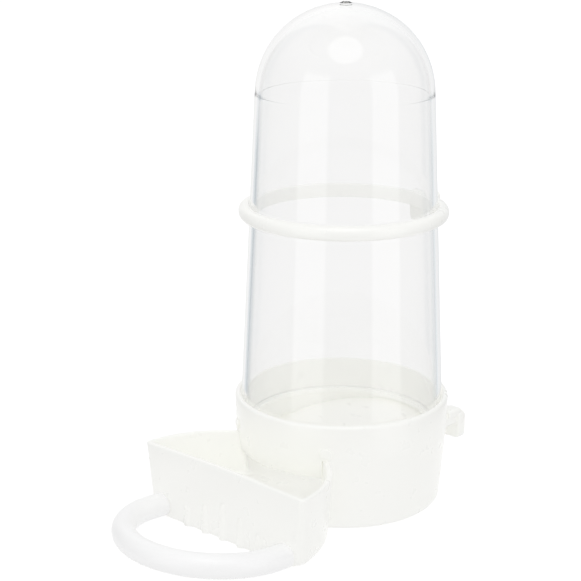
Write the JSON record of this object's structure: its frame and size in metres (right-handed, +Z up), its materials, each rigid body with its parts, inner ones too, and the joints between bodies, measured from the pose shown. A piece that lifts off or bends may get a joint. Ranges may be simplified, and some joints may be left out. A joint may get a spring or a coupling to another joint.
{
  "type": "cage bird fount with perch",
  "caption": "Domed clear plastic reservoir standing in an ivory base with an open D-shaped trough, a hooked support ring and a plug-in perch loop.",
  "frame": {"origin": "on the reservoir's axis, in the plane that the base stands on", "axes": "+Z up along the reservoir, -Y towards the trough and the perch, +Y towards the cage hooks, +X to the right seen from the trough's side"},
  "size_m": [0.054, 0.0998, 0.1248],
  "materials": {
    "ivory_plastic": "smooth moulded ivory plastic, slightly translucent",
    "clear_plastic": "clear blown plastic, polished",
    "white_plastic": "smooth moulded white plastic"
  },
  "bodies": {
    "base": {"base_tray": "ivory_plastic", "base_collar": "ivory_plastic"},
    "reservoir": {"reservoir": "clear_plastic"},
    "ring": {"support_ring": "ivory_plastic"},
    "perch": {"perch": "white_plastic"}
  },
  "joints": [
    {"name": "reservoir_lift", "type": "slide", "parent": "base", "child": "reservoir", "axis": [0, 0, 1], "range_m": [0, 0.008]},
    {"name": "ring_slide", "type": "slide", "parent": "reservoir", "child": "ring", "axis": [0, 0, 1], "range_m": [0, 0.052]},
    {"name": "perch_pull", "type": "slide", "parent": "base", "child": "perch", "axis": [0, -1, 0], "range_m": [0, 0.005]}
  ]
}
